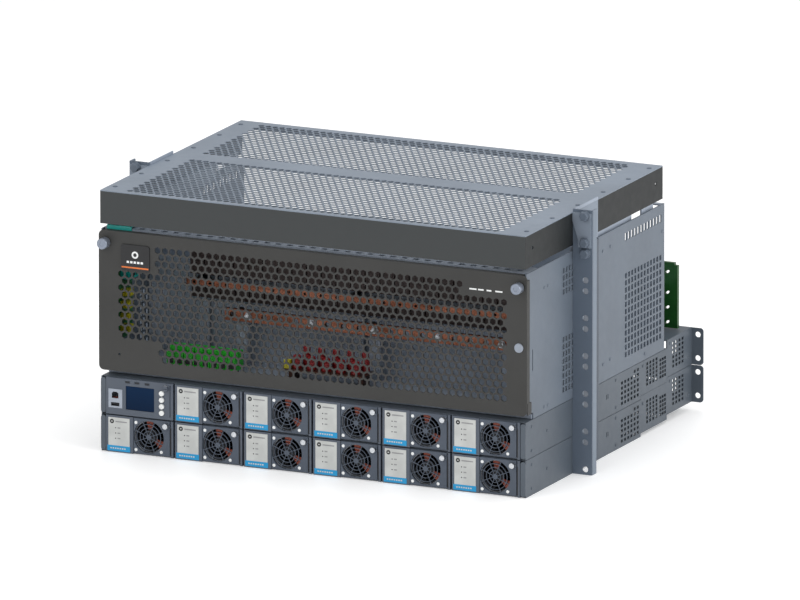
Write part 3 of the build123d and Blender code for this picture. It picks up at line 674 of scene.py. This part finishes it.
# ---- signal terminals and battery posts --------------------------------------------------
# Bright green pluggable terminals on a black rail, and dark red insulating sleeves on the
# posts of a copper strip, where the battery leads land, with one yellow fuse carrier.
terminal_green = plain_finish("terminal_green", srgb(20, 176, 26), 0.35)
post_red = plain_finish("post_red", srgb(136, 24, 28), 0.32)
fuse_yellow = plain_finish("fuse_yellow", srgb(186, 176, 30), 0.4)
teal_plastic = plain_finish("teal_plastic", srgb(26, 168, 160), 0.38)
old_copper = plain_finish("old_copper", srgb(86, 60, 50), 0.4, 0.8)

POLES, POLE_PITCH, FIRST_POLE, HALF_POLE = 8, 11, -203.5, 5.2
TERMINAL_Z, TERMINAL_BACK = 96, 74

terminals = bmesh.new()
for pole in range(POLES):
    middle = FIRST_POLE + pole * POLE_PITCH
    left, right = middle - HALF_POLE, middle + HALF_POLE
    add_box(terminals, (left, 52, TERMINAL_Z), (right, TERMINAL_BACK, 112), 0, 0.5)
    add_box(terminals, (left, 58, 112), (right, TERMINAL_BACK, 118), 0, 0.6)
    add_box(terminals, (middle - 3.4, 51.8, 99), (middle + 3.4, 52.3, 106), 1, 0.1)
    add_turned(terminals, (middle, 63, 117.6), [(0, 2.6), (0.8, 2.6), (0.9, 2.2)], "Z", 2, 14)
add_box(terminals, (-205, 56, CABINET_FLOOR), (-125, 70, TERMINAL_Z), 1, 0.4)
terminals_piece = new_piece("signal_terminals", terminals, "chassis",
                            [terminal_green, black_plastic, turned_steel])
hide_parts("terminal_block")

STRIP_Z0, STRIP_Z1 = 104, 107
POST_PITCH, FIRST_POST = 18.5, -48
SHORT_SLEEVE = [(0, 5.6), (8, 5.6), (9, 4.8), (14, 4.6), (15, 3.6)]
TALL_SLEEVE = [(0, 5.0), (12, 5.0), (13, 4.4), (22, 4.2), (23, 3.2)]

posts = bmesh.new()
add_box(posts, (-62, 52, STRIP_Z0), (40, 84, STRIP_Z1), 2, 0.4)
for left in (-58, 30):
    add_box(posts, (left, 60, CABINET_FLOOR), (left + 6, 78, STRIP_Z0), 2, 0.3)
for post in range(5):
    x = FIRST_POST + post * POST_PITCH
    add_turned(posts, (x, 62, STRIP_Z1), SHORT_SLEEVE, "Z", 0, 20)
    add_turned(posts, (x + 6, 76, STRIP_Z1), TALL_SLEEVE, "Z", 0, 20)
add_box(posts, (-61, 53, STRIP_Z1), (-53, 60, 117), 1, 0.5)
posts_piece = new_piece("battery_posts", posts, "chassis",
                        [post_red, fuse_yellow, old_copper])
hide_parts("battery_lugs")

# ---- interface board -------------------------------------------------------------------
# The signal board on standoffs inside the left wall, with teal pluggable sockets above and
# yellow relays below, and a teal socket strip that hangs over the front rail.
WALL = -266.0
BOARD_FRONT, BOARD_BACK, BOARD_LOW, BOARD_HIGH = 30, 66, 125, 255
PARTS_X, PARTS_Y = WALL + 7.6, 34
STRIP_LEFT, STRIP_RIGHT, STRIP_TOP = WALL + 3, WALL + 34, 265.6
TEAL, YELLOW, STEEL, DARK = 1, 2, 3, 4

signals = bmesh.new()
add_box(signals, (WALL + 6, BOARD_FRONT, BOARD_LOW), (PARTS_X, BOARD_BACK, BOARD_HIGH), 0, 0.2)
for y in (BOARD_FRONT + 3, BOARD_BACK - 3):
    for z in (BOARD_LOW + 4, BOARD_HIGH - 5):
        add_turned(signals, (WALL, y, z), [(0, 2.5), (6, 2.5)], "X", STEEL, 6)
for z in (236, 214, 196):
    add_box(signals, (PARTS_X, PARTS_Y, z), (WALL + 20, 62, z + 14), TEAL, 0.6)
    for pole in range(4):
        y = 37.5 + pole * 7
        add_box(signals, (WALL + 19.5, y - 2, z + 3), (WALL + 20.4, y + 2, z + 9), DARK, 0.1)
add_box(signals, (STRIP_LEFT, 8.2, 252), (STRIP_RIGHT, 9.8, STRIP_TOP), TEAL, 0.2)
add_box(signals, (STRIP_LEFT, 9.8, STRIP_TOP - 1), (STRIP_RIGHT, 30, STRIP_TOP), TEAL, 0.2)
for pole in range(3):
    left = STRIP_LEFT + 3 + pole * 9
    add_box(signals, (left, 8.0, 254), (left + 6, 8.3, 260), DARK, 0.1)
for relay in range(4):
    z = 134 + 14 * relay
    add_box(signals, (PARTS_X, PARTS_Y, z), (WALL + 19, 46, z + 8), YELLOW, 0.5)
signals_piece = new_piece("signal_board", signals, "chassis",
                          [board_green, teal_plastic, fuse_yellow, turned_steel, black_plastic])
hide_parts("interface_board")

# ---- rear terminal board -----------------------------------------------------------------
# A dark green board behind the cabinet with slanted oval holes for cable ties.
dark_board = circuit_board("board_dark_green", srgb(8, 64, 8))
TIE_LENGTH, TIE_WIDTH, TIE_TILT = 7.0, 3.2, math.radians(35)
TIE_ROWS, TIE_COLUMNS, TIE_PITCH, FIRST_TIE = (106, 123.5, 141, 165.5), 15, 35, -245
REAR_BOARD_Y, REAR_BOARD_THICK = 442, 5.0


def slanted_oval(x, z):
    loop = []
    for px, pz in circle(0, 0, 1, 20):
        along, across = px * TIE_LENGTH / 2, pz * TIE_WIDTH / 2
        loop.append((x + along * math.cos(TIE_TILT) - across * math.sin(TIE_TILT),
                     z + along * math.sin(TIE_TILT) + across * math.cos(TIE_TILT)))
    return loop


rear_board = bmesh.new()
rear_outline = [(-258, 99.5), (258, 99.5), (258, 174), (254, 174), (254, 177), (-254, 177),
                (-254, 174), (-258, 174)]
rear_holes = [slanted_oval(FIRST_TIE + TIE_PITCH * column, z)
              for column in range(TIE_COLUMNS) for z in TIE_ROWS]
flat_sheet(rear_board, rear_outline, rear_holes, lambda x, z, y: mm(x, REAR_BOARD_Y + y, z),
           REAR_BOARD_THICK)
rear_piece = new_piece("rear_board", rear_board, "chassis", [dark_board])
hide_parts("rear_terminal_board")

# ---- door --------------------------------------------------------------------------------
# The drop-down door: one charcoal coated sheet punched with staggered hexagons, its sides
# and top folded back, with a riveted pin on each side as its hinge.
DOOR_HALF, DOOR_Z0, DOOR_Z1 = 269.5, 96.2, 261.0
HEX_PITCH, HEX_ROW, HEX_R = 9.27, 8.03, 4.04
HEX_ROWS, HEX_COLUMNS, FIRST_HEX_X, FIRST_HEX_Z = 17, 53, -241.4, 243.5
DOOR_SHEET, DOOR_FOLD = 1.5, 8
SCREW_X, SCREW_Z = 260.3, 247.0
PLUG = [(0.1, 5.4), (-1.2, 5.4), (-1.6, 4.9)]
door_coat = powder_coat("door_coat", srgb(56, 56, 55), roughness=0.5, wear=0.35)
rubber = plain_finish("plug_grey", srgb(140, 148, 160), 0.45)


def hexagon(x, z):
    return circle(x, z, HEX_R, 6, math.radians(30))


def round_corners(x0, x1, z0, z1, radius, steps=6):
    loop = []
    for cx, cz, first in ((x1 - radius, z1 - radius, 0), (x0 + radius, z1 - radius, 90),
                          (x0 + radius, z0 + radius, 180), (x1 - radius, z0 + radius, 270)):
        for step in range(steps + 1):
            turn = math.radians(first + 90 * step / steps)
            loop.append((cx + radius * math.cos(turn), cz + radius * math.sin(turn)))
    return loop


door_holes = []
for row in range(HEX_ROWS):
    z = FIRST_HEX_Z - row * HEX_ROW
    for column in range(HEX_COLUMNS):
        x = FIRST_HEX_X + column * HEX_PITCH + (HEX_PITCH / 2 if row % 2 else 0)
        beside_badge = row < 4 and x < -199
        beside_nameplate = row < 2 and x > 189
        beside_jack = row > 13 and x < -192
        if not (beside_badge or beside_nameplate or beside_jack or x > 243):
            door_holes.append(hexagon(x, z))
screw_holes = [circle(side * SCREW_X, SCREW_Z, 2.4, 20) for side in (-1, 1)]
jack_hole = circle(-243.5, 116.5, 1.5, 16)
door = bmesh.new()
flat_sheet(door, round_corners(-DOOR_HALF, DOOR_HALF, DOOR_Z0, DOOR_Z1, 6),
           [*door_holes, *screw_holes, jack_hole], lambda x, z, y: mm(x, y, z), DOOR_SHEET)
add_box(door, (-DOOR_HALF + 6, DOOR_SHEET, DOOR_Z1 - DOOR_SHEET),
        (DOOR_HALF - 6, DOOR_FOLD, DOOR_Z1), 0, 0.3)
for side in (-1, 1):
    near, far = sorted((side * (DOOR_HALF - DOOR_SHEET), side * DOOR_HALF))
    add_box(door, (near, DOOR_SHEET, 111), (far, DOOR_FOLD, DOOR_Z1 - 6), 0, 0.25)
    add_box(door, (near, 3, 97), (far, 13, 111), 0, 0.25)
    pin = [(0, 2.0), (side * 3.0, 2.0)]
    add_turned(door, (side * 265.2, 8, 102), pin, "X", 2, 16)
add_turned(door, (259.6, 0, 176), PLUG, slot=1, steps=32)
door_piece = new_piece("perforated_door", door, "door",
                       [door_coat, rubber, turned_steel])
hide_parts("front_door")

# ---- thumbscrews -------------------------------------------------------------------------
# Turned and plated quarter-turn screws, one at each top corner of the door, with a shallow
# round recess in front and fine ribs round the heads.
THUMB_HEAD = [(15, 2.0), (-0.3, 2.0), (-0.3, 4.4), (-1.5, 4.4), (-1.5, 6.1), (-2.0, 6.5),
              (-11.0, 6.5), (-11.9, 5.7), (-11.9, 2.6), (-11.4, 2.4)]
HEAD_MIDDLE, RIB_SHRINK = -6.5, 0.985
screw_plating = plain_finish("screw_plating", srgb(132, 140, 154), 0.32, 0.5)
for name, side in (("left", -1), ("right", 1)):
    screw = bmesh.new()
    at = (side * SCREW_X, 0, SCREW_Z)
    add_turned(screw, at, THUMB_HEAD, steps=48)
    ribs = [face for face in screw.faces
            if abs(face.calc_center_median().y - mm(0, HEAD_MIDDLE, 0).y) < 0.001]
    for rib in ribs[::2]:
        for vert in rib.verts:
            axis = Vector((at[0] / 1000, vert.co.y, at[2] / 1000))
            vert.co = axis + (vert.co - axis) * RIB_SHRINK
    bmesh.ops.recalc_face_normals(screw, faces=screw.faces)
    turned = new_piece(f"thumbscrew_{name}", screw, f"thumbscrew_{name}",
                       [screw_plating], smooth=True)
    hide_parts(f"door_thumbscrew_{name}")

# ---- badge and nameplate -----------------------------------------------------------------
# A black moulded badge with a plain white ring and dashes over an orange stripe, and at the
# door's right top corner four short white bars where a name would be.
badge_orange = plain_finish("badge_orange", srgb(214, 110, 40), 0.4)
BADGE_X0, BADGE_X1, BADGE_Z0, BADGE_Z1, BADGE_THICK = -241, -205, 216.5, 247, 1.2
RING_X, RING_Z, RING_R, RING_HOLE_R = -223, 235.5, 4.2, 2.2
BLACK, ORANGE, WHITE = range(3)
badge = bmesh.new()
flat_sheet(badge, round_corners(BADGE_X0, BADGE_X1, BADGE_Z0, BADGE_Z1, 3), [],
           lambda x, z, y: mm(x, y - BADGE_THICK, z), BADGE_THICK)
add_box(badge, (BADGE_X0 + 1, -1.32, 219.5), (BADGE_X1 - 1, -1.18, 221.2), ORANGE)
for front, radius, tone, steps in ((-1.3, RING_R, WHITE, 30), (-1.36, RING_HOLE_R, BLACK, 24)):
    add_turned(badge, (RING_X, front, RING_Z), [(0.15, radius), (0, radius)],
               slot=tone, steps=steps)
for dash in range(5):
    left = -233.5 + dash * 4.4
    add_box(badge, (left, -1.3, 225.4), (left + 3.0, -1.18, 228.0), WHITE)
for dash, width in enumerate((9, 7, 6, 9)):
    left = 197.5 + dash * 10.8
    add_box(badge, (left, -0.14, 238.4), (left + width, 0.0, 240.2), WHITE)
badge_piece = new_piece("badge", badge, "door",
                        [black_plastic, badge_orange, white_plastic])
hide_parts("door_badge")

# ---- cover ---------------------------------------------------------------------------------
# A charcoal coated band round the front and sides, its sides painted darker than its front as
# painted shade, carries a light punched sheet, held by pan-head screws along both edges. A plain
# cross rail divides its two punched fields.
COVER_BACK, COVER_TOP, COVER_SHEET = 379.0, 307.6, 1.2
BORDER_SIDE, BORDER_FRONT, BORDER_BACK = 27.0, 6.0, 8.0
TOP_PITCH, TOP_ROW, TOP_HOLE_R = 8.68, 7.52, 4.25
RAIL_Y0, RAIL_Y1 = 183.0, 209.0
# The band's sides get a darker colour than its front: painted shade over one coat.
BAND_FRONT, BAND_SIDE_PAINTED_SHADE, BAND_RUBBED = srgb(58, 61, 62), srgb(30, 33, 34), srgb(120, 124, 128)
PAN_HEAD = [(0, 2.9), (0.5, 2.8), (1.0, 1.6)]
band = Finish("band_coat_with_painted_shade")
across = band.axes()[0]
side_start = (BODY_HALF - 0.1) / 1000
on_shaded_side = band.ramp(across * across, side_start ** 2, (side_start + 0.00005) ** 2)
band_paint_with_shade = band.mix(on_shaded_side, BAND_FRONT, BAND_SIDE_PAINTED_SHADE)
dress("cover_frame", finish_coat(band, band_paint_with_shade, BAND_RUBBED, 0.52, 0.3))
top_coat = powder_coat("top_coat", srgb(124, 134, 147))
bolt_coat = powder_coat("bolt_coat", srgb(92, 102, 115), roughness=0.35)

top_holes = []
columns = int(2 * (BODY_HALF - BORDER_SIDE - TOP_HOLE_R) / TOP_PITCH)
for field_start, field_end in ((BORDER_FRONT, RAIL_Y0), (RAIL_Y1, COVER_BACK - BORDER_BACK)):
    rows = int((field_end - field_start - 2 * TOP_HOLE_R) / TOP_ROW) + 1
    for row in range(rows):
        y = field_start + TOP_HOLE_R + row * TOP_ROW
        shift = TOP_PITCH / 2 if row % 2 else 0
        for column in range(columns):
            x = (column - columns / 2) * TOP_PITCH + shift
            top_holes.append(circle(x, y, TOP_HOLE_R, 6, math.radians(30)))
top = bmesh.new()
top_outline = [(-BODY_HALF, 0), (BODY_HALF, 0), (BODY_HALF, COVER_BACK),
               (-BODY_HALF, COVER_BACK)]
flat_sheet(top, top_outline, top_holes, lambda x, y, z: mm(x, y, COVER_TOP - z), COVER_SHEET)
add_box(top, (-252, RAIL_Y0, COVER_TOP - 4), (252, RAIL_Y1, COVER_TOP - COVER_SHEET), 0, 0.3)
for side in (-1, 1):
    for y in (22, 92, 162, 232, 302, 360):
        add_turned(top, (side * 259, y, COVER_TOP), PAN_HEAD, "Z", 1, 18)
top_piece = new_piece("cover_top", top, "chassis", [top_coat, bolt_coat])
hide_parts("cover_grille")
dress("cover_brackets", top_coat)

# ---- cover rest strips -------------------------------------------------------------------
# Light coated steel strips: inside the top of each cabinet side, where the cover rests, and
# along the top edge of each cover bracket.
REST_STRIPS = ((134, 300), (328, 360))
REST_Z0, REST_Z1 = 255, 276
BRACKET_STRIP_Y0, BRACKET_STRIP_Y1, BRACKET_STRIP_TOP = 134, 196, 311
strips = bmesh.new()
for side in (-1, 1):
    near, far = sorted((side * (BODY_HALF - 5.5), side * (BODY_HALF - 3.5)))
    for start, end in REST_STRIPS:
        add_box(strips, (near, start, REST_Z0), (far, end, REST_Z1), 0, 0.2)
    near, far = sorted((side * (BODY_HALF + 0.1), side * (BODY_HALF + 1.5)))
    add_box(strips, (near, BRACKET_STRIP_Y0, COVER_TOP),
            (far, BRACKET_STRIP_Y1, BRACKET_STRIP_TOP), 0, 0.2)
new_piece("cover_rest_strips", strips, "chassis", [inner_coat])

# ---- rack ears and their bolts -----------------------------------------------------------
# Folded steel ears with the standard hole pattern in one coat, painted darker in front than on
# their legs as painted shade; a plate coated darker still as painted shade lengthens the legs to
# the rear. Flanged hexagon bolts hold the cover's brackets.
EAR_Y, EAR_SHEET = 130.0, 2.0
EAR_BOLT_X = 283.35
BRACKET_SHEET = 1.5
EAR_BOLTS = ((260.35, EAR_Y), (273.05, EAR_Y - BRACKET_SHEET), (304.8, EAR_Y - BRACKET_SHEET))
BOLT_FLANGE = [(9, 3.0), (0, 3.0), (0, 6.2), (-0.8, 6.2), (-1.4, 5.6)]
BOLT_HEAD = [(-1.4, 5.5), (-5.4, 5.5), (-6.0, 4.9)]
# The ears' front faces are painted darker than their legs: painted shade over one coat.
EAR_FACE_PAINTED_SHADE, EAR_LEG, EAR_RUBBED = srgb(92, 103, 117), srgb(112, 123, 136), srgb(160, 170, 182)
ear = Finish("ear_coat_with_painted_shade")
leg_start = (EAR_Y + EAR_SHEET) / 1000
leg_clear_of_painted_shade = ear.ramp(ear.axes()[1] - FRONT_Y, leg_start + 0.0003, leg_start + 0.0007)
ear_coat_with_painted_shade = finish_coat(ear, ear.mix(leg_clear_of_painted_shade, EAR_FACE_PAINTED_SHADE, EAR_LEG), EAR_RUBBED, 0.42, 0.4)
dress("rack_ear_left", ear_coat_with_painted_shade)
dress("rack_ear_right", ear_coat_with_painted_shade)
# The plates are coated darker than the legs they lengthen: painted shade seen through the ear
# holes.
leg_plate_shade_coat = powder_coat("ear_leg_plate_painted_shade", srgb(72, 80, 91))
PLATE_Y0, PLATE_Y1, PLATE_Z0, PLATE_Z1 = 156.2, 198, 1, 262
legs = bmesh.new()
for side in (-1, 1):
    near, far = sorted((side * (BODY_HALF + 0.1), side * (BODY_HALF + 1.9)))
    add_box(legs, (near, PLATE_Y0, PLATE_Z0), (far, PLATE_Y1, PLATE_Z1), 0, 0.3)
new_piece("ear_leg_plates", legs, "chassis", [leg_plate_shade_coat])
fasteners = bmesh.new()
for side in (-1, 1):
    for z, front in EAR_BOLTS:
        add_turned(fasteners, (side * EAR_BOLT_X, front, z), BOLT_FLANGE, steps=28)
        add_turned(fasteners, (side * EAR_BOLT_X, front, z), BOLT_HEAD, steps=6)
bmesh.ops.recalc_face_normals(fasteners, faces=fasteners.faces)
bolt_piece = new_piece("ear_flange_bolts", fasteners, "chassis", [bolt_coat])
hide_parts("ear_bolts")

# ---- studio --------------------------------------------------------------------------------
# A white floor that glows a little like a light table, broad soft light from the front, the
# right and above, and a very long lens.
FLOOR = 9
ground = bmesh.new()
for corner in ((-FLOOR, -FLOOR), (FLOOR, -FLOOR), (FLOOR, FLOOR), (-FLOOR, FLOOR)):
    ground.verts.new((*corner, 0.0))
ground.faces.new(ground.verts)
ground_mesh = finished_mesh("floor", ground)
floor = bpy.data.objects.new("floor", ground_mesh)
bpy.context.scene.collection.objects.link(floor)
backdrop = Finish("white_backdrop", 0.45)
PURE_WHITE, SOFT_WHITE = (1, 1, 1, 1), (0.97, 0.97, 0.97, 1)
backdrop.feed(Base_Color=backdrop.mix(backdrop.speckle(1.5), SOFT_WHITE, PURE_WHITE))
backdrop.shader.inputs["Emission Color"].default_value = PURE_WHITE
backdrop.shader.inputs["Emission Strength"].default_value = 0.22
ground_mesh.materials.append(backdrop.material)
floor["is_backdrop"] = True

world = bpy.data.worlds.new("studio")
world.use_nodes = True
sky = world.node_tree.nodes["Background"]
sky.inputs["Color"].default_value = PURE_WHITE
sky.inputs["Strength"].default_value = 0.62
bpy.context.scene.world = world
bpy.context.scene.view_settings.view_transform = "Standard"


def softbox(name, place, target, width, height, watts):
    lamp = bpy.data.lights.new(name, "AREA")
    lamp.shape, lamp.size, lamp.size_y, lamp.energy = "RECTANGLE", width, height, watts
    lit = bpy.data.objects.new(name, lamp)
    lit.location = place
    lit.rotation_euler = (Vector(target) - Vector(place)).to_track_quat("-Z", "Y").to_euler()
    bpy.context.scene.collection.objects.link(lit)


softbox("key", (-0.6, -2.6, 2.0), (0, 0, 0.1), 2.2, 1.6, 26)
softbox("side", (2.8, -0.4, 1.4), (0, 0, 0.15), 1.8, 1.6, 34)
softbox("top", (0.2, 0.4, 3.0), (0, 0, 0.1), 2.2, 2.2, 30)

AZIMUTH, ELEVATION = math.radians(24.85), math.radians(13.8)
DISTANCE = 30.0
VIEW_WIDTH, SENSOR = 0.9189, 36
aim = Vector((0.0061, 0.0, 0.1558))
along_floor = math.cos(ELEVATION)
back = Vector((math.sin(AZIMUTH) * along_floor, -math.cos(AZIMUTH) * along_floor,
               math.sin(ELEVATION)))
lens = bpy.data.cameras.new("camera")
lens.sensor_width = SENSOR
lens.lens = SENSOR * DISTANCE / VIEW_WIDTH
lens.clip_end = 60
camera = bpy.data.objects.new("camera", lens)
camera.location = aim + back * DISTANCE
camera.rotation_euler = (-back).to_track_quat("-Z", "Y").to_euler()
bpy.context.scene.collection.objects.link(camera)
bpy.context.scene.camera = camera

low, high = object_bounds()
